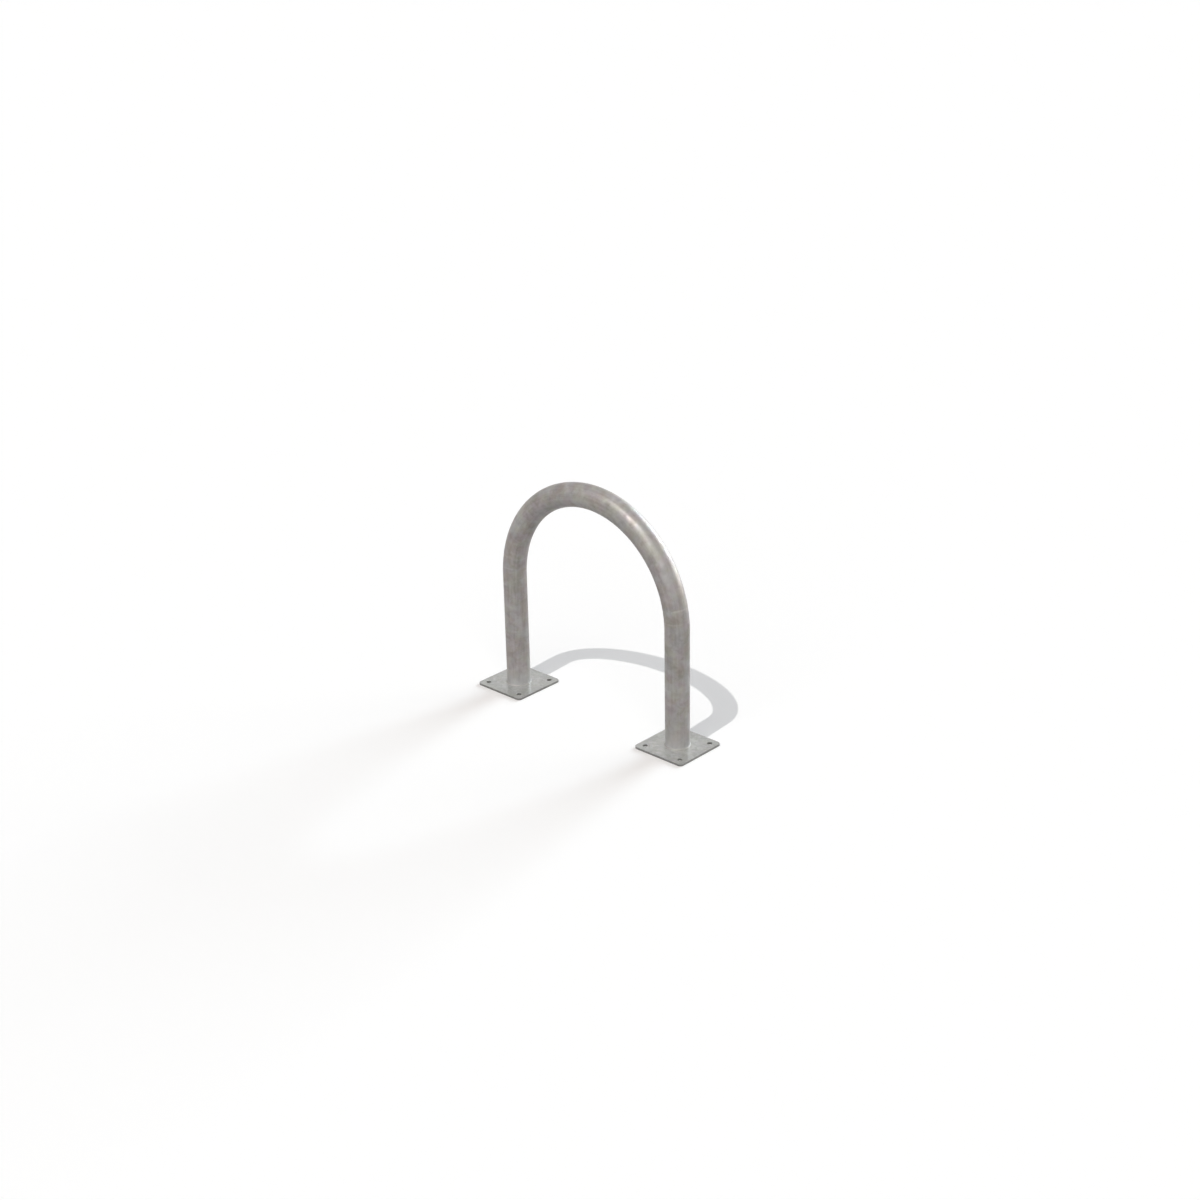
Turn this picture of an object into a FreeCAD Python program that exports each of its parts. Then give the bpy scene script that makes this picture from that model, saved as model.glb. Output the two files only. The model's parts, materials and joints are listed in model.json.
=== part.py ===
import FreeCAD, Part
import os

# Hoop barrier: one steel tube bent into a hoop, welded to two foot plates that bolt down to the ground.
# Sizes are in millimetres. The origin is on the ground, midway between the feet.
# X runs from leg to leg, Y across the hoop and Z up.

# Hoop tube
hoop_width = 600.0  # over the outsides of the two legs
leg_length = 300.0  # straight tube from a foot plate up to the start of the bend
tube_diameter = 60.3
tube_wall = 3.2

# Foot plates
plate_length = 150.0  # along X
plate_width = 150.0  # along Y
plate_thickness = 6.0
plate_corner_radius = 10.0
bolt_hole_diameter = 12.0
bolt_edge_distance = 20.0  # from the centre of a bolt hole to each of the two edges beside it
drain_hole_diameter = 25.0  # lets air out and zinc run off when the closed tube is galvanised

# Fillet welds round the feet of the legs
weld_leg = 3.0  # up the tube, and out along the plate
weld_crown = 0.3  # how far the weld's face bulges

# Places that follow from the sizes
tube_radius = tube_diameter / 2
bore_radius = tube_radius - tube_wall
leg_offset = hoop_width / 2 - tube_radius  # from the middle of the hoop to the axis of a leg
bend_height = plate_thickness + leg_length  # where the legs end and the half-circle bend starts
bolt_offset_x = plate_length / 2 - bolt_edge_distance
bolt_offset_y = plate_width / 2 - bolt_edge_distance

sides = {"left": -1, "right": 1}
up = FreeCAD.Vector(0, 0, 1)
half_turn = 180.0
full_turn = 360.0


def tube_section(side, height):
    """The tube cut square across a leg at this height: a flat ring."""
    centre = FreeCAD.Vector(side * leg_offset, 0, height)
    rims = [Part.Wire(Part.makeCircle(radius, centre)) for radius in (tube_radius, bore_radius)]
    return Part.makeFace(rims, "Part::FaceMakerBullseye")


def hoop_tube():
    """One length of tube: a straight leg, a half-circle bend and the other leg."""
    legs = [tube_section(side, plate_thickness).extrude(up * leg_length) for side in sides.values()]
    bend_centre = FreeCAD.Vector(0, 0, bend_height)
    across = FreeCAD.Vector(0, -1, 0)
    bend = tube_section(sides["right"], bend_height).revolve(bend_centre, across, half_turn)
    return bend.fuse(legs).removeSplitter()


def base_plate(side):
    """A flat plate with rounded corners, four bolt holes and a drain hole under the tube's bore."""
    leg_x = side * leg_offset
    corner = FreeCAD.Vector(leg_x - plate_length / 2, -plate_width / 2, 0)
    blank = Part.makeBox(plate_length, plate_width, plate_thickness, corner)
    upright_edges = [edge for edge in blank.Edges if edge.Vertexes[0].Z != edge.Vertexes[1].Z]
    blank = blank.makeFillet(plate_corner_radius, upright_edges)
    drain_centre = FreeCAD.Vector(leg_x, 0, 0)
    holes = [Part.makeCylinder(drain_hole_diameter / 2, plate_thickness, drain_centre)]
    for bolt_x in (leg_x - bolt_offset_x, leg_x + bolt_offset_x):
        for bolt_y in (-bolt_offset_y, bolt_offset_y):
            bolt_centre = FreeCAD.Vector(bolt_x, bolt_y, 0)
            holes.append(Part.makeCylinder(bolt_hole_diameter / 2, plate_thickness, bolt_centre))
    return blank.cut(holes)


def weld(side):
    """A fillet weld closed round the foot of a leg, seated on the plate and against the tube."""
    leg_axis = FreeCAD.Vector(side * leg_offset, 0, plate_thickness)
    root = leg_axis + FreeCAD.Vector(tube_radius, 0, 0)
    toe = root + FreeCAD.Vector(weld_leg, 0, 0)
    top = root + up * weld_leg
    outwards = FreeCAD.Vector(1, 0, 1).normalize()
    crown = (toe + top) / 2 + outwards * weld_crown
    face = Part.Arc(toe, crown, top).toShape()
    outline = Part.Wire([Part.makeLine(root, toe), face, Part.makeLine(top, root)])
    return Part.Face(outline).revolve(leg_axis, up, full_turn)


pieces = {"hoop_tube": hoop_tube()}
for side_name, side in sides.items():
    pieces["base_plate_" + side_name] = base_plate(side)
    pieces["weld_" + side_name] = weld(side)

os.makedirs("parts", exist_ok=True)
for node, shape in pieces.items():
    shape.exportStep("parts/" + node + ".step")
    print(node, "solids", len(shape.Solids), "valid", shape.isValid())
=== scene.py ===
import json
import math

import bmesh
import bpy
from bpy.props import FloatProperty, FloatVectorProperty, IntProperty, PointerProperty
from mathutils import Matrix, Vector, noise


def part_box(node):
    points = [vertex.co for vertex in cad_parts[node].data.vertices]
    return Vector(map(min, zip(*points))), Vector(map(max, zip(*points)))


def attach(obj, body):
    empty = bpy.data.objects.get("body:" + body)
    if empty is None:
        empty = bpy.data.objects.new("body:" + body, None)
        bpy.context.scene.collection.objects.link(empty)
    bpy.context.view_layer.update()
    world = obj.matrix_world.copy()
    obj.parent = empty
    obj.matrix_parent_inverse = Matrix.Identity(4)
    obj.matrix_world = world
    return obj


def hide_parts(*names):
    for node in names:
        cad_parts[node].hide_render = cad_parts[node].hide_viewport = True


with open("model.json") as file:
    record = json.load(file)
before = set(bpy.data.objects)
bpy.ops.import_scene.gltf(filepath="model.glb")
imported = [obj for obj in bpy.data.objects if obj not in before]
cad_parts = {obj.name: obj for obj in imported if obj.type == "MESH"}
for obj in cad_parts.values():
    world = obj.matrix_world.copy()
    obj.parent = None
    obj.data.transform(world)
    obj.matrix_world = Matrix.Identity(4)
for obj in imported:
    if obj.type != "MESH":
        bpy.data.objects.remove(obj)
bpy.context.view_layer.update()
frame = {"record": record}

bl_info = {
    "name": "Galvanised hoop barrier",
    "version": (1, 0, 0),
    "blender": (4, 5, 0),
    "location": "3D View > Sidebar > Hoop",
    "description": "Dresses a bolt-down hoop barrier: bent tube, foot plates and welds in a white studio",
    "category": "Object",
}

# Sizes that the frame gives, in metres
_, hoop_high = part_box("hoop_tube")
foot_low, foot_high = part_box("base_plate_right")
weld_low, weld_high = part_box("weld_right")
bolts = next(mount for mount in frame["record"]["mounts"] if mount["name"] == "right_bolts")["dims"]
MILLIMETRE = 0.001
SIDES = {"left": -1, "right": 1}
PLATE_TOP = foot_high.z
LEG_OFFSET = (foot_low.x + foot_high.x) / 2
TUBE_RADIUS = hoop_high.x - LEG_OFFSET
BEND_HEIGHT = hoop_high.z - TUBE_RADIUS - LEG_OFFSET
LEG_LENGTH = BEND_HEIGHT - PLATE_TOP
TUBE_LENGTH = 2 * LEG_LENGTH + math.pi * LEG_OFFSET
WELD_LEG = weld_high.z - weld_low.z

# Making the meshes
MERGE_DISTANCE = 0.01 * MILLIMETRE
SHARP_ANGLE = math.radians(40)
ROUND_PROFILE = 0.5  # of a bevel that is part of a circle
RIM_BAND = 0.25  # width of the level band inside a rounded rim, as a share of its radius

# Making the finishes
MIDDLE = 0.5  # of a noise, of a crystal's value and of the way from dark to light zinc
CRYSTAL_DRIFT = 2.0  # how far a crystal's outline wanders, in widths of a crystal
MIX_FACTOR, MIX_FIRST, MIX_SECOND, MIX_RESULT = 0, 6, 7, 2  # a Mix node's sockets for colours
WHITE = (1.0, 1.0, 1.0)

# Faint pale rings round the tube: how far along the tube from its foot, in metres, and how strong
PALE_RINGS = ((0.356, 1.0), (0.325, 0.6), (0.152, 0.5))
RING_FADE = (-0.08, 0.12)  # noise at which a ring starts to show, and at which it shows in full


def length(name, description, default):
    return FloatProperty(name=name, description=description, default=default, unit="LENGTH")


def turn(name, description, degrees):
    return FloatProperty(name=name, description=description, default=math.radians(degrees), subtype="ANGLE")


def amount(name, description, default):
    return FloatProperty(name=name, description=description, default=default)


def share(name, description, default):
    return FloatProperty(name=name, description=description, default=default, min=0, max=1, subtype="FACTOR")


def count(name, description, default):
    return IntProperty(name=name, description=description, default=default)


def colour(name, description, default):
    return FloatVectorProperty(name=name, description=description, default=default, subtype="COLOR")


def place(name, description, default):
    return FloatVectorProperty(
        name=name,
        description=description,
        default=default,
        subtype="XYZ",
        unit="LENGTH",
    )


def direction(name, description, default):
    return FloatVectorProperty(name=name, description=description, default=default, subtype="DIRECTION")


class ZincPattern:
    """Pattern that every zinc finish has."""

    cloud_size: length("Cloud size", "Width of the broad clouds", 0.070)
    cloud_depth: amount("Cloud depth", "How strongly the clouds show", 1.5)
    mottle_size: length("Mottle size", "Width of the mottled patches", 0.022)
    mottle_depth: amount("Mottle depth", "How strongly the mottle shows", 1.7)
    mottle_detail: amount("Mottle detail", "Fineness of the mottle", 4.0)
    mottle_wander: amount("Mottle wander", "How far the mottle's outlines wander", 0.6)
    spangle_size: length("Spangle size", "Width of a zinc crystal", 0.007)
    spangle_depth: amount("Spangle depth", "How strongly the crystals differ", 0.3)
    grain_size: length("Grain size", "Width of the fine grain", 0.0012)
    grain_depth: amount("Grain depth", "How strongly the grain shows", 0.4)
    shade_start: place("Shade start", "Where light and dark patches start in the noise", (0.0, 0.0, 0.377))
    pink_start: place("Pink start", "Where the pinkish patches start in the noise", (0.3, 0.1, 6.232))
    pink_size: length("Pink size", "Width of the pinkish patches", 0.030)
    pink_tint: colour("Pink tint", "Tint of the pinkish patches", (1.0, 0.925, 0.95))
    olive_start: place("Olive start", "Where the olive patches start in the noise", (0.7, 0.4, 6.909))
    olive_size: length("Olive size", "Width of the olive patches", 0.026)
    olive_tint: colour("Olive tint", "Tint of the olive patches", (0.985, 0.99, 0.90))
    tint_edge: amount("Tint edge", "How softly the tinted patches fade out", 0.12)
    mottle_gloss: amount("Mottle gloss", "How much glossier the pale mottle is", 0.25)
    spangle_dullness: amount("Spangle dullness", "How much duller the pale crystals are", 0.06)
    relief: share("Relief", "Strength of the uneven zinc skin", 0.9)
    cloud_height: amount("Cloud height", "Height of the clouds in the skin, in millimetres", 0.6)
    mottle_height: amount("Mottle height", "Height of the mottle in the skin, in millimetres", 0.5)
    spangle_height: amount("Spangle height", "Height of the crystals in the skin, in millimetres", 0.04)
    grain_height: amount("Grain height", "Height of the grain in the skin, in millimetres", 0.08)
    sheen_weight: share("Sheen", "Share of a smoother outer skin", 0.0)
    sheen_roughness: share("Sheen roughness", "Dullness of the smoother outer skin", 0.15)
    sheen_index: amount("Sheen index", "Refractive index of the smoother outer skin: more mirrors more", 1.5)


class HoopTubeSettings(ZincPattern, bpy.types.PropertyGroup):
    wall: length("Wall", "Thickness of the tube's wall", 0.0032)
    round_steps: count("Steps round", "Faces round the tube", 96)
    bend_steps: count("Steps in bend", "Faces along the bend", 120)
    leg_steps: count("Steps in leg", "Faces along a leg", 24)
    dark_colour: colour("Dark zinc", "Darker zinc", (0.284, 0.273, 0.267))
    light_colour: colour("Light zinc", "Lighter zinc", (0.394, 0.387, 0.384))
    metallic: share("Metallic", "Share of bare metal in the skin", 0.55)
    roughness: share("Roughness", "Dullness of the zinc", 0.47)
    edge_tint: colour("Edge tint", "Reflection at a glancing angle", (0.9, 0.9, 0.9))
    streak_depth: amount("Streak depth", "How strongly streaks along the tube show", 1.2)
    streak_size: length("Streak size", "Width of a streak", 0.006)
    streak_squeeze: amount("Streak squeeze", "Squeeze of the tube's length that draws the streaks out", 0.07)
    # Painted reflected light: the feet are painted paler and less tinted, standing in for light that the
    # plate and floor throw back onto them
    foot_painted_light: amount("Foot paleness", "How much paler the zinc is that ran down to the feet", 2.2)
    foot_painted_light_reach: length("Foot reach", "How far up the pale zinc reaches", 0.085)
    # Faint pale rings round the tube at set heights along it
    ring_depth: amount("Ring depth", "How strongly the rings of the bending die show", 0.6)
    ring_core: length("Ring core", "Half width of a ring where it shows in full", 0.0006)
    ring_reach: length("Ring reach", "Half width of a ring where it has faded out", 0.0032)
    ring_patch: length("Ring patch", "Width of the patches in which a ring shows", 0.03)


class FootPlateSettings(ZincPattern, bpy.types.PropertyGroup):
    corner_radius: length("Corner radius", "Rounding of the plate's corners", 0.01)
    corner_steps: count("Steps round corner", "Faces round a corner", 10)
    drain_diameter: length("Drain hole", "Hole under the tube's bore", 0.025)
    edge_radius: length("Edge radius", "Rounding that the zinc leaves on the edges", 0.0008)
    edge_steps: count("Steps over edge", "Faces across a rounded edge", 3)
    round_steps: count("Steps round", "Faces round a hole", 48)
    dark_colour: colour("Dark zinc", "Darker zinc", (0.271, 0.272, 0.264))
    light_colour: colour("Light zinc", "Lighter zinc", (0.339, 0.340, 0.331))
    pink_tint: colour("Pink tint", "Tint of the pinkish patches", (1.0, 0.97, 0.98))
    olive_tint: colour("Olive tint", "Tint of the olive patches", (0.985, 0.995, 0.95))
    metallic: share("Metallic", "Share of bare metal in the skin", 0.4)
    roughness: share("Roughness", "Dullness of the zinc", 0.75)
    edge_tint: colour("Edge tint", "Reflection at a glancing angle", (1.0, 1.0, 1.0))
    cloud_depth: amount("Cloud depth", "How strongly the clouds show", 1.1)
    mottle_size: length("Mottle size", "Width of the mottled patches", 0.014)
    mottle_depth: amount("Mottle depth", "How strongly the mottle shows", 2.4)
    spangle_size: length("Spangle size", "Width of a zinc crystal", 0.008)
    spangle_depth: amount("Spangle depth", "How strongly the crystals differ", 0.9)
    grain_size: length("Grain size", "Width of the fine grain", 0.003)
    grain_depth: amount("Grain depth", "How strongly the grain shows", 1.0)
    relief: share("Relief", "Strength of the uneven zinc skin", 0.7)
    sheen_weight: share("Sheen", "Share of a smoother outer skin", 1.0)
    sheen_roughness: share("Sheen roughness", "Dullness of the smoother outer skin", 0.12)
    sheen_index: amount("Sheen index", "Refractive index of the smoother outer skin: more mirrors more", 1.8)
    # Painted shade: the plate's cut sides and the walls of its holes are painted darker
    cut_painted_shade: amount("Cut darkness", "How much darker the cut sides and the holes are", 1.6)
    painted_shade_fade: share("Cut fade", "Where the darkness ends below the top, as a share of the edge radius", 0.1)
    # Painted light: a paler halo round the tube lifts the tube's shadow and dark mirror image on the plate
    halo_painted_light: amount("Halo paleness", "How much paler the zinc is round the tube", 0.9)
    painted_halo_reach: length("Halo reach", "How far from the tube the pale zinc reaches", 0.045)


class WeldSettings(ZincPattern, bpy.types.PropertyGroup):
    ripples: count("Ripples", "Ripples round one weld", 64)
    ripple_steps: count("Steps in ripple", "Faces along one ripple", 6)
    ripple_depth: length("Ripple depth", "Height of a ripple", 0.00025)
    ripple_bow: amount("Ripple bow", "How far a ripple bows between its ends, in radians of its wave", 2.0)
    unevenness: share("Unevenness", "How much the height of the ripples differs", 0.4)
    uneven_size: length("Uneven size", "Width of the stretches that differ", 0.006)
    face_cuts: count("Cuts over face", "Cuts across the weld's face", 7)
    crown: length("Crown", "Bulge of the weld's face", 0.0003)
    buried: length("Buried", "How far the root reaches into tube and plate", 0.0004)
    dark_colour: colour("Dark zinc", "Darker zinc", (0.314, 0.311, 0.301))
    light_colour: colour("Light zinc", "Lighter zinc", (0.408, 0.406, 0.393))
    pink_tint: colour("Pink tint", "Tint of the pinkish patches", (1.0, 0.97, 0.98))
    olive_tint: colour("Olive tint", "Tint of the olive patches", (0.985, 0.995, 0.95))
    metallic: share("Metallic", "Share of bare metal in the skin", 0.3)
    roughness: share("Roughness", "Dullness of the zinc", 0.65)
    edge_tint: colour("Edge tint", "Reflection at a glancing angle", (0.7, 0.7, 0.7))
    sheen_weight: share("Sheen", "Share of a smoother outer skin", 0.25)
    sheen_roughness: share("Sheen roughness", "Dullness of the smoother outer skin", 0.3)


class StageSettings(bpy.types.PropertyGroup):
    floor_size: length("Floor", "Width of the floor", 80.0)
    floor_colour: colour("Floor colour", "Pale floor as it is seen", (0.98, 0.98, 0.98))
    bounce_colour: colour("Bounce colour", "Light that the floor throws back up", (0.15, 0.15, 0.15))
    sky_colour: colour("Sky colour", "Soft light from all round", (0.313, 0.295, 0.294))
    front_direction: direction("Front direction", "From the hoop to the front light", (0.394, -0.682, 0.616))
    front_colour: colour("Front colour", "Soft light from the front", (1.0, 0.97, 0.92))
    front_strength: amount("Front strength", "Front light on a surface that faces it", 0.66)
    front_angle: turn("Front angle", "Width of the front light", 60.0)
    key_direction: direction("Key direction", "From the hoop to the key light", (0.042, -0.4907, 0.8703))
    key_colour: colour("Key colour", "Crisp key light", (1.0, 0.985, 0.96))
    key_strength: amount("Key strength", "Key light on a surface that faces it", 1.25)
    key_angle: turn("Key angle", "Width of the key light", 0.6)
    back_direction: direction("Back direction", "From the hoop to the back light", (0.0, 0.934, 0.358))
    back_colour: colour("Back colour", "Cool light from behind", (0.78, 0.91, 1.0))
    back_strength: amount("Back strength", "Back light on a surface that faces it", 1.6)
    back_angle: turn("Back angle", "Width of the back light", 24.0)
    rim_direction: direction("Rim direction", "From the hoop to the rim light", (0.242, 0.970, 0.035))
    rim_colour: colour("Rim colour", "Low light that brightens the far edge", (0.97, 0.985, 0.96))
    rim_strength: amount("Rim strength", "Rim light on a surface that faces it", 2.5)
    rim_angle: turn("Rim angle", "Width of the rim light", 54.0)
    top_direction: direction("Top direction", "From the hoop to the top light", (0.0, 0.0, 1.0))
    top_colour: colour("Top colour", "Soft light from above, on the foot plates alone", (0.948, 1.0, 0.996))
    top_strength: amount("Top strength", "Top light on a surface that faces it", 2.0)
    top_angle: turn("Top angle", "Width of the top light", 90.0)
    eye: place("Eye", "Where the camera stands", (3.0292, -3.1962, 2.2157))
    aim: place("Aim", "What the camera looks at", (0.0121, 0.0114, 0.3090))
    roll: turn("Roll", "Tilt of the camera about its line of sight", -1.12)
    lens: amount("Lens", "Focal length in millimetres", 59.1)


class Signal:
    """A value on its way through a shader. An expression on signals adds the Math nodes that work it out."""

    def __init__(self, shader, socket):
        self.shader = shader
        self.socket = socket

    def other(self, output):
        """Another output of the same node."""
        return Signal(self.shader, self.socket.node.outputs[output])

    def math(self, operation, first, second=0.0):
        return self.shader.node("ShaderNodeMath", {"operation": operation}, {0: first, 1: second})

    def __add__(self, other):
        return self.math("ADD", self, other)

    __radd__ = __add__

    def __sub__(self, other):
        return self.math("SUBTRACT", self, other)

    def __rsub__(self, other):
        return self.math("SUBTRACT", other, self)

    def __mul__(self, other):
        return self.math("MULTIPLY", self, other)

    def __abs__(self):
        return self.math("ABSOLUTE", self)


class Shader:
    """The nodes of one material or of the world."""

    def __init__(self, owner):
        owner.use_nodes = True
        self.tree = owner.node_tree
        self.tree.nodes.clear()

    def node(self, kind, settings=None, inputs=None, output=0):
        """Adds a node: its settings first, then the values or links of its sockets. Gives one output."""
        made = self.tree.nodes.new(kind)
        for name, value in (settings or {}).items():
            setattr(made, name, value)
        for socket, value in (inputs or {}).items():
            if isinstance(value, Signal):
                self.tree.links.new(value.socket, made.inputs[socket])
            else:
                made.inputs[socket].default_value = value
        return Signal(self, made.outputs[output]) if made.outputs else None

    def noise(self, point, size, detail=3.0, distortion=0.0):
        """Cloudy values from about -0.5 to 0.5, in patches of about this size."""
        inputs = {"Vector": point, "Scale": 1 / size, "Detail": detail, "Distortion": distortion}
        return self.node("ShaderNodeTexNoise", None, inputs) - MIDDLE

    def crystals(self, point, size, wander):
        """One value from -0.5 to 0.5 for each crystal, with outlines that wander."""
        drift = self.node("ShaderNodeTexNoise", None, {"Vector": point, "Scale": 1 / wander}, output="Color")
        reach = (CRYSTAL_DRIFT * size,) * 3
        shifted = self.vector("MULTIPLY_ADD", drift, reach, point)
        cell = self.node("ShaderNodeTexVoronoi", None, {"Vector": shifted, "Scale": 1 / size}, output="Color")
        return self.node("ShaderNodeSeparateColor", None, {"Color": cell}, output="Red") - MIDDLE

    def vector(self, operation, first, second, third=(0, 0, 0)):
        return self.node("ShaderNodeVectorMath", {"operation": operation}, {0: first, 1: second, 2: third})

    def step(self, value, low, high):
        """0 below low, 1 above high, and a soft step between them."""
        inputs = {"Value": value, "From Min": low, "From Max": high}
        return self.node("ShaderNodeMapRange", {"interpolation_type": "SMOOTHSTEP"}, inputs)

    def ramp(self, value, low, high):
        """0 below low, 1 above high, and an even slope between them."""
        return self.node("ShaderNodeMapRange", None, {"Value": value, "From Min": low, "From Max": high})

    def mix(self, factor, first, second, blend="MIX"):
        """Blends two colours."""
        settings = {"data_type": "RGBA", "blend_type": blend, "clamp_factor": False}
        inputs = {MIX_FACTOR: factor, MIX_FIRST: first, MIX_SECOND: second}
        return self.node("ShaderNodeMix", settings, inputs, output=MIX_RESULT)

    def seen(self):
        """1 for what the camera sees straight, mirrored or through glass, and 0 for soft light."""
        straight = self.node("ShaderNodeLightPath", output="Is Camera Ray")
        return straight + straight.other("Is Glossy Ray") + straight.other("Is Transmission Ray")


def opaque(rgb):
    return (*rgb, 1.0)


def object_point(shader):
    return shader.node("ShaderNodeTexCoord", output="Object")


def unbent_point(shader):
    return shader.node("ShaderNodeAttribute", {"attribute_name": "unbent"}, output="Vector")


def no_marks(shader, point, look):
    """Even zinc: no paler or darker marks, and its tints all over."""
    return 0.0, 1.0


def tube_marks(shader, point, tube):
    """Streaks along the tube, painted reflected light that makes the feet paler and less tinted, and faint
    pale rings at set heights.
    """
    along = shader.node("ShaderNodeSeparateXYZ", None, {"Vector": point}, output="Z")
    from_foot = TUBE_LENGTH / 2 - abs(along - TUBE_LENGTH / 2)
    long_point = shader.vector("MULTIPLY", point, (1, 1, tube.streak_squeeze))
    streak = shader.noise(long_point, tube.streak_size)
    # Painted reflected light at the feet, fading out up the leg
    low = 1 - shader.ramp(from_foot, 0.0, tube.foot_painted_light_reach)
    foot = low * low
    marks = streak * tube.streak_depth + foot * tube.foot_painted_light
    # Faint pale rings at set heights, shown in patches
    patch = shader.step(shader.noise(point, tube.ring_patch), *RING_FADE)
    for height, strength in PALE_RINGS:
        ring = 1 - shader.step(abs(from_foot - height), tube.ring_core, tube.ring_reach)
        marks = marks + ring * patch * (strength * tube.ring_depth)
    # The painted reflected light also fades out the tints at the feet
    return marks, 1 - foot


def plate_marks(shader, point, plate):
    """Painted shade on the cut sides and in the holes, and a painted halo of light round the tube."""
    height = shader.node("ShaderNodeSeparateXYZ", None, {"Vector": point}, output="Z")
    # Painted shade on the cut sides and hole walls, ending just below the rounded top edge
    fade = plate.painted_shade_fade * plate.edge_radius
    cut = 1 - shader.step(height, PLATE_TOP - plate.edge_radius, PLATE_TOP - fade)
    beside = abs(height.other("X")) - LEG_OFFSET
    flat = shader.node("ShaderNodeCombineXYZ", None, {"X": beside, "Y": height.other("Y")})
    from_leg = shader.node("ShaderNodeVectorMath", {"operation": "LENGTH"}, {0: flat}, output="Value")
    # Painted halo of light round the leg
    painted_halo = 1 - shader.step(from_leg, TUBE_RADIUS, TUBE_RADIUS + plate.painted_halo_reach)
    # Painted light round the tube, less painted shade on the sides and in the holes
    return painted_halo * plate.halo_painted_light - cut * plate.cut_painted_shade, 1.0


def zinc(name, look, point_of, marks_of=no_marks):
    """Hot-dip zinc: clouds, mottle, crystals and fine grain in its colour, gloss and relief."""
    material = bpy.data.materials.new(name)
    shader = Shader(material)
    point = point_of(shader)
    shaded = shader.vector("ADD", point, look.shade_start)
    cloud = shader.noise(shaded, look.cloud_size)
    mottle = shader.noise(shaded, look.mottle_size, look.mottle_detail, look.mottle_wander)
    spangle = shader.crystals(shaded, look.spangle_size, look.mottle_size)
    grain = shader.noise(shaded, look.grain_size)
    shade = MIDDLE + cloud * look.cloud_depth + mottle * look.mottle_depth
    shade = shade + spangle * look.spangle_depth + grain * look.grain_depth
    # The tube's and plates' marks are partly painted light and shade; the tints fade where the tube's feet
    # are painted paler
    marks, tint_share = marks_of(shader, point, look)
    shade = shade + marks
    base = shader.mix(shade, opaque(look.dark_colour), opaque(look.light_colour))
    pink = shader.noise(shader.vector("ADD", point, look.pink_start), look.pink_size)
    olive = shader.noise(shader.vector("ADD", point, look.olive_start), look.olive_size)
    for tinted, tint in ((pink, look.pink_tint), (olive, look.olive_tint)):
        patch = shader.step(tinted, -look.tint_edge, look.tint_edge) * tint_share
        base = shader.mix(patch, base, opaque(tint), "MULTIPLY")
    roughness = look.roughness - mottle * look.mottle_gloss + spangle * look.spangle_dullness
    height = cloud * look.cloud_height + mottle * look.mottle_height
    height = height + spangle * look.spangle_height + grain * look.grain_height
    bump = {"Strength": look.relief, "Distance": MILLIMETRE, "Height": height}
    surface = shader.node(
        "ShaderNodeBsdfPrincipled",
        None,
        {
            "Base Color": base,
            "Metallic": look.metallic,
            "Roughness": roughness,
            "Specular Tint": opaque(look.edge_tint),
            "Coat Weight": look.sheen_weight,
            "Coat Roughness": look.sheen_roughness,
            "Coat IOR": look.sheen_index,
            "Normal": shader.node("ShaderNodeBump", None, bump),
        },
    )
    shader.node("ShaderNodeOutputMaterial", None, {"Surface": surface})
    return material


def add_piece(name, bm, material, node):
    """Turns the mesh into a smooth piece that stands for a node of the frame."""
    mesh = bpy.data.meshes.new(name)
    bm.to_mesh(mesh)
    bm.free()
    mesh.materials.append(material)
    mesh.shade_smooth()
    mesh.set_sharp_from_angle(angle=SHARP_ANGLE)
    piece = bpy.data.objects.new(name, mesh)
    bpy.context.scene.collection.objects.link(piece)
    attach(piece, "root")
    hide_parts(node)


def parts_of(geometry, kind):
    return [part for part in geometry if isinstance(part, kind)]


def extrude_ring(bm, ring, step, steps):
    """Carries a ring of edges along in equal steps and gives the last ring."""
    for _ in range(steps):
        made = bmesh.ops.extrude_edge_only(bm, edges=ring)["geom"]
        bmesh.ops.translate(bm, verts=parts_of(made, bmesh.types.BMVert), vec=step)
        ring = parts_of(made, bmesh.types.BMEdge)
    return ring


def unbend(co):
    """Where a point of the hoop was in the straight tube: away from the bend's centre, across, and along."""
    if co.z > BEND_HEIGHT:
        rise = co.z - BEND_HEIGHT
        bent = math.atan2(rise, -co.x)
        return Vector((math.hypot(co.x, rise) - LEG_OFFSET, co.y, LEG_LENGTH + LEG_OFFSET * bent))
    climb = co.z - PLATE_TOP
    along = climb if co.x < 0 else TUBE_LENGTH - climb
    return Vector((abs(co.x) - LEG_OFFSET, co.y, along))


class HOOP_OT_bend_tube(bpy.types.Operator):
    """Bends the tube: a leg, the half-circle bend and the other leg in one piece"""

    bl_idname = "hoop.bend_tube"
    bl_label = "Bend tube"

    def execute(self, context):
        tube = context.scene.hoop_tube
        bm = bmesh.new()
        foot = Matrix.Translation((-LEG_OFFSET, 0, PLATE_TOP))
        bmesh.ops.create_circle(bm, segments=tube.round_steps, radius=TUBE_RADIUS, matrix=foot)
        step = Vector((0, 0, LEG_LENGTH / tube.leg_steps))
        ring = extrude_ring(bm, bm.edges[:], step, tube.leg_steps)
        ring_verts = list({vert for edge in ring for vert in edge.verts})
        bend = bmesh.ops.spin(
            bm,
            geom=ring_verts + ring,
            cent=(0, 0, BEND_HEIGHT),
            axis=(0, 1, 0),
            angle=math.pi,
            steps=tube.bend_steps,
        )
        ring = parts_of(bend["geom_last"], bmesh.types.BMEdge)
        extrude_ring(bm, ring, -step, tube.leg_steps)
        bmesh.ops.remove_doubles(bm, verts=bm.verts[:], dist=MERGE_DISTANCE)
        bmesh.ops.recalc_face_normals(bm, faces=bm.faces[:])
        bmesh.ops.solidify(bm, geom=bm.faces[:], thickness=tube.wall)
        straight = bm.verts.layers.float_vector.new("unbent")
        for vert in bm.verts:
            vert[straight] = unbend(vert.co)
        material = zinc("galvanised_tube", tube, unbent_point, tube_marks)
        add_piece("bent_hoop_tube", bm, material, "hoop_tube")
        return {"FINISHED"}


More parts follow.
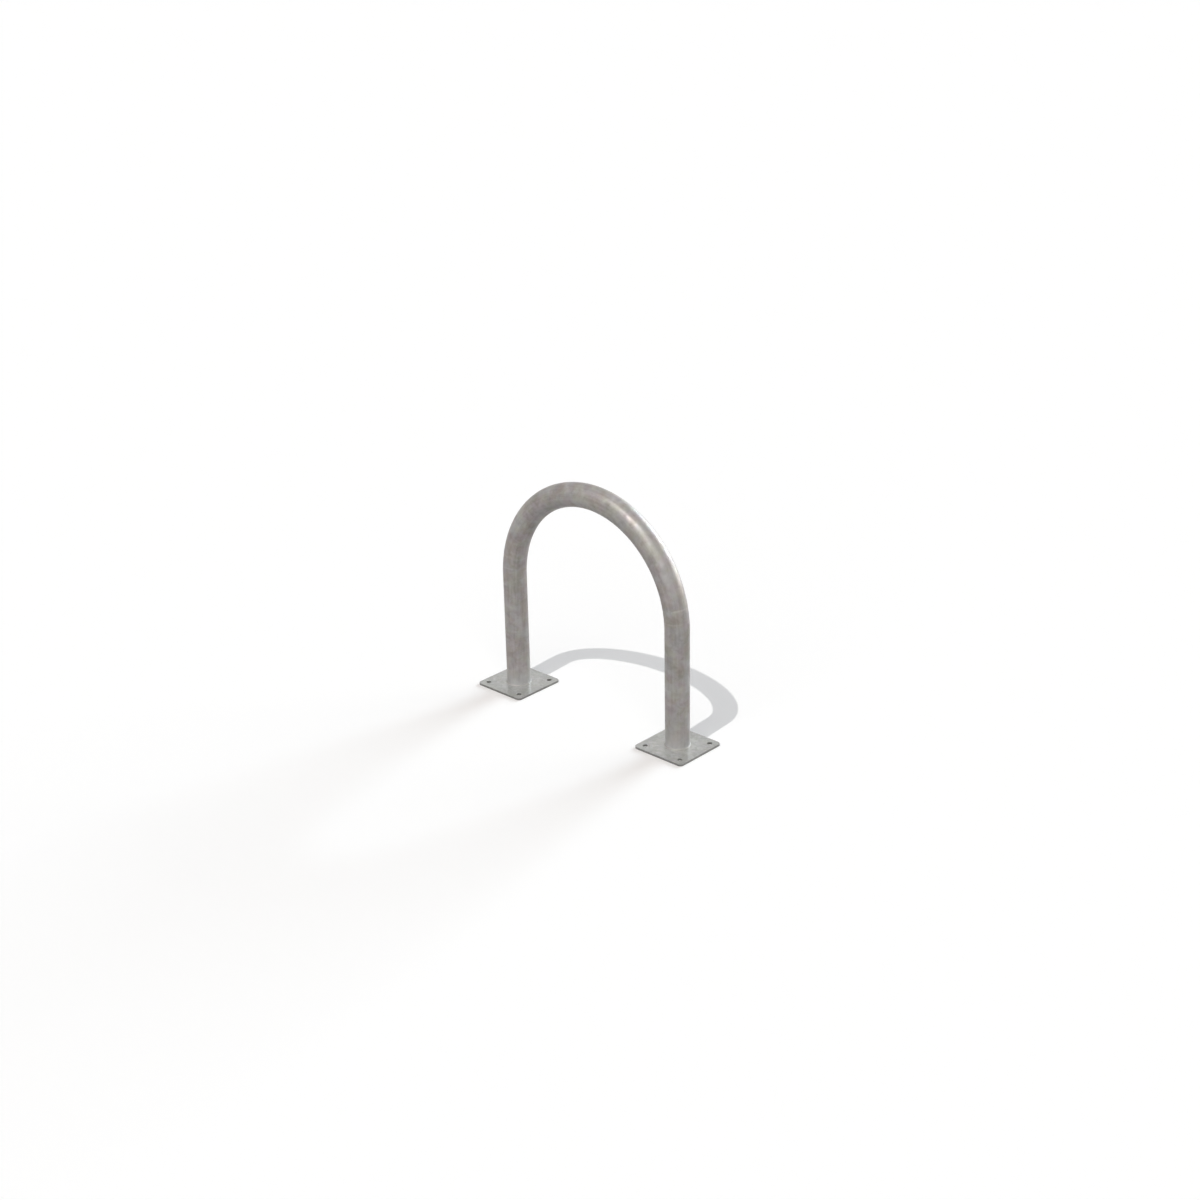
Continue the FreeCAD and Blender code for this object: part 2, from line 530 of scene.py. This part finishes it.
def round_rim(bm, flat, radius, steps):
    """Rounds the rim of a flat face with insets that climb a quarter circle, then a narrow level one."""
    angles = [math.pi / 2 * step / steps for step in range(steps + 1)]
    for start, end in zip(angles, angles[1:]):
        inward = radius * (math.cos(start) - math.cos(end))
        outward = radius * (math.sin(end) - math.sin(start))
        bmesh.ops.inset_region(bm, faces=flat, thickness=inward, depth=outward, use_even_offset=True)
    bmesh.ops.inset_region(bm, faces=flat, thickness=radius * RIM_BAND, use_even_offset=True)


class HOOP_OT_cut_plates(bpy.types.Operator):
    """Cuts the two foot plates with rounded corners, bolt holes and a drain hole"""

    bl_idname = "hoop.cut_plates"
    bl_label = "Cut foot plates"

    def execute(self, context):
        plate = context.scene.hoop_plates
        material = zinc("galvanised_plate", plate, object_point, plate_marks)
        for side_name, side in SIDES.items():
            bm = self.cut(plate, side * LEG_OFFSET)
            add_piece(f"foot_plate_{side_name}", bm, material, f"base_plate_{side_name}")
        return {"FINISHED"}

    def cut(self, plate, middle):
        """Outlines a plate and its holes, fills and thickens the outline, and rounds the edges."""
        bm = bmesh.new()
        centre = Vector((middle, 0, plate.edge_radius))
        half = (foot_high - foot_low) / 2
        blank = Matrix.Translation(centre) @ Matrix.Diagonal((half.x, half.y, 1, 1))
        bmesh.ops.create_grid(bm, x_segments=1, y_segments=1, size=1, matrix=blank)
        bmesh.ops.bevel(
            bm,
            geom=bm.verts[:],
            affect="VERTICES",
            offset=plate.corner_radius,
            segments=plate.corner_steps,
            profile=ROUND_PROFILE,
        )
        bmesh.ops.delete(bm, geom=bm.faces[:], context="FACES_ONLY")
        holes = [(Vector(), plate.drain_diameter / 2)]
        for along in (-1, 1):
            for across in (-1, 1):
                spacing = Vector((along * bolts["spacing_x_mm"], across * bolts["spacing_y_mm"], 0))
                holes.append((spacing / 2 * MILLIMETRE, bolts["hole_r_mm"] * MILLIMETRE))
        for offset, radius in holes:
            drilled = Matrix.Translation(centre + offset)
            bmesh.ops.create_circle(bm, segments=plate.round_steps, radius=radius, matrix=drilled)
        bmesh.ops.triangle_fill(bm, use_beauty=True, edges=bm.edges[:], normal=(0, 0, 1))
        bottom = bm.faces[:]
        grown = bmesh.ops.extrude_face_region(bm, geom=bottom, use_keep_orig=True)["geom"]
        top = parts_of(grown, bmesh.types.BMFace)
        lift = PLATE_TOP - 2 * plate.edge_radius
        bmesh.ops.translate(bm, verts=parts_of(grown, bmesh.types.BMVert), vec=(0, 0, lift))
        bmesh.ops.recalc_face_normals(bm, faces=bm.faces[:])
        round_rim(bm, top, plate.edge_radius, plate.edge_steps)
        round_rim(bm, bottom, plate.edge_radius, plate.edge_steps)
        return bm


class HOOP_OT_lay_welds(bpy.types.Operator):
    """Lays the rippled fillet weld round the foot of each leg"""

    bl_idname = "hoop.lay_welds"
    bl_label = "Lay welds"

    def execute(self, context):
        weld = context.scene.hoop_welds
        material = zinc("galvanised_weld", weld, object_point)
        for side_name, side in SIDES.items():
            bm = self.lay(weld, Vector((side * LEG_OFFSET, 0, PLATE_TOP)))
            add_piece(f"weld_bead_{side_name}", bm, material, f"weld_{side_name}")
        return {"FINISHED"}

    def lay(self, weld, centre):
        """Spins the weld's three-sided section round the leg, then raises its crown and ripples."""
        bm = bmesh.new()
        root = bm.verts.new(centre + Vector((TUBE_RADIUS - weld.buried, 0, -weld.buried)))
        toe = bm.verts.new(centre + Vector((TUBE_RADIUS + WELD_LEG, 0, -weld.buried)))
        top = bm.verts.new(centre + Vector((TUBE_RADIUS - weld.buried, 0, WELD_LEG)))
        bm.edges.new((root, toe))
        face = bm.edges.new((toe, top))
        bm.edges.new((top, root))
        bmesh.ops.subdivide_edges(bm, edges=[face], cuts=weld.face_cuts)
        bmesh.ops.spin(
            bm,
            geom=bm.verts[:] + bm.edges[:],
            cent=centre,
            axis=(0, 0, 1),
            angle=2 * math.pi,
            steps=weld.ripples * weld.ripple_steps,
            use_merge=True,
        )
        bmesh.ops.remove_doubles(bm, verts=bm.verts[:], dist=MERGE_DISTANCE)
        bmesh.ops.recalc_face_normals(bm, faces=bm.faces[:])
        for vert in bm.verts:
            vert.co += self.ripple(weld, vert.co - centre)
        return bm

    def ripple(self, weld, arm):
        """How far a point of the weld's face stands out with its crown and the ripple that it lies on."""
        out = math.hypot(arm.x, arm.y) - TUBE_RADIUS
        across = min(max((out + weld.buried) / (WELD_LEG + weld.buried), 0), 1)
        on_face = math.sin(math.pi * across)
        phase = math.atan2(arm.y, arm.x) * weld.ripples + weld.ripple_bow * on_face
        uneven = weld.unevenness * noise.noise(arm / weld.uneven_size)
        height = weld.crown + weld.ripple_depth * ((1 + math.sin(phase)) / 2 + uneven)
        outward = Vector((arm.x, arm.y, 0)).normalized() + Vector((0, 0, 1))
        return outward.normalized() * (height * on_face)


class HOOP_OT_set_stage(bpy.types.Operator):
    """Sets the white studio: floor, sky, five lights and camera"""

    bl_idname = "hoop.set_stage"
    bl_label = "Set stage"

    def execute(self, context):
        stage = context.scene.hoop_stage
        context.scene.view_settings.view_transform = "Standard"
        self.lay_floor(context, stage)
        self.light_sky(context, stage)
        lights = ("key", "front", "back", "rim", "top")
        suns = {name: self.hang_light(context, stage, name) for name in lights}
        # In a low view from the front the plates would mirror the two lights from behind, and turn white
        for name, link_state in (("back", "EXCLUDE"), ("rim", "EXCLUDE"), ("top", "INCLUDE")):
            self.aim_light(context, suns[name], link_state)
        self.stand_camera(context, stage)
        return {"FINISHED"}

    def lay_floor(self, context, stage):
        bm = bmesh.new()
        bmesh.ops.create_grid(bm, x_segments=1, y_segments=1, size=stage.floor_size / 2)
        mesh = bpy.data.meshes.new("floor")
        bm.to_mesh(mesh)
        bm.free()
        material = bpy.data.materials.new("pale_floor")
        shader = Shader(material)
        shown = shader.mix(shader.seen(), opaque(stage.bounce_colour), opaque(stage.floor_colour))
        surface = shader.node("ShaderNodeBsdfDiffuse", None, {"Color": shown})
        shader.node("ShaderNodeOutputMaterial", None, {"Surface": surface})
        mesh.materials.append(material)
        floor = bpy.data.objects.new("floor", mesh)
        context.scene.collection.objects.link(floor)

    def light_sky(self, context, stage):
        world = bpy.data.worlds.new("studio")
        context.scene.world = world
        shader = Shader(world)
        shown = shader.mix(shader.seen(), opaque(stage.sky_colour), opaque(WHITE))
        sky = shader.node("ShaderNodeBackground", None, {"Color": shown, "Strength": 1.0})
        shader.node("ShaderNodeOutputWorld", None, {"Surface": sky})

    def hang_light(self, context, stage, name):
        lamp = bpy.data.lights.new(f"{name}_light", "SUN")
        lamp.color = getattr(stage, f"{name}_colour")
        lamp.energy = getattr(stage, f"{name}_strength")
        lamp.angle = getattr(stage, f"{name}_angle")
        sun = bpy.data.objects.new(f"{name}_light", lamp)
        from_hoop = Vector(getattr(stage, f"{name}_direction"))
        sun.rotation_euler = from_hoop.to_track_quat("Z", "Y").to_euler()
        context.scene.collection.objects.link(sun)
        return sun

    def aim_light(self, context, sun, link_state):
        """Makes a light miss the foot plates (EXCLUDE) or light them alone (INCLUDE)."""
        plates = bpy.data.collections.new(f"{sun.name}_plates")
        for side_name in SIDES:
            plates.objects.link(context.scene.objects[f"foot_plate_{side_name}"])
        for entry in plates.collection_objects:
            entry.light_linking.link_state = link_state
        sun.light_linking.receiver_collection = plates

    def stand_camera(self, context, stage):
        lens = bpy.data.cameras.new("camera")
        lens.lens = stage.lens
        camera = bpy.data.objects.new("camera", lens)
        line_of_sight = Vector(stage.eye) - Vector(stage.aim)
        level = line_of_sight.to_track_quat("Z", "Y").to_matrix().to_4x4()
        camera.matrix_world = Matrix.Translation(stage.eye) @ level @ Matrix.Rotation(stage.roll, 4, "Z")
        context.scene.collection.objects.link(camera)
        context.scene.camera = camera


class HOOP_PT_sidebar(bpy.types.Panel):
    """Lists the steps that make the hoop, each with its sizes and colours"""

    bl_idname = "HOOP_PT_sidebar"
    bl_label = "Hoop barrier"
    bl_space_type = "VIEW_3D"
    bl_region_type = "UI"
    bl_category = "Hoop"

    def draw(self, context):
        for operator, settings_name in STEPS:
            self.layout.operator(f"hoop.{operator}")
            settings = getattr(context.scene, settings_name)
            for name in settings.bl_rna.properties.keys():
                if name not in ("rna_type", "name"):
                    self.layout.prop(settings, name)


STEPS = (
    ("bend_tube", "hoop_tube"),
    ("cut_plates", "hoop_plates"),
    ("lay_welds", "hoop_welds"),
    ("set_stage", "hoop_stage"),
)
SETTINGS = {
    "hoop_tube": HoopTubeSettings,
    "hoop_plates": FootPlateSettings,
    "hoop_welds": WeldSettings,
    "hoop_stage": StageSettings,
}
CLASSES = (
    *SETTINGS.values(),
    HOOP_OT_bend_tube,
    HOOP_OT_cut_plates,
    HOOP_OT_lay_welds,
    HOOP_OT_set_stage,
    HOOP_PT_sidebar,
)


def register():
    for each in CLASSES:
        bpy.utils.register_class(each)
    for name, group in SETTINGS.items():
        setattr(bpy.types.Scene, name, PointerProperty(type=group))


def unregister():
    for name in SETTINGS:
        delattr(bpy.types.Scene, name)
    for each in reversed(CLASSES):
        bpy.utils.unregister_class(each)


def main():
    register()
    for operator, _ in STEPS:
        getattr(bpy.ops.hoop, operator)()


if __name__ == "__main__":
    main()
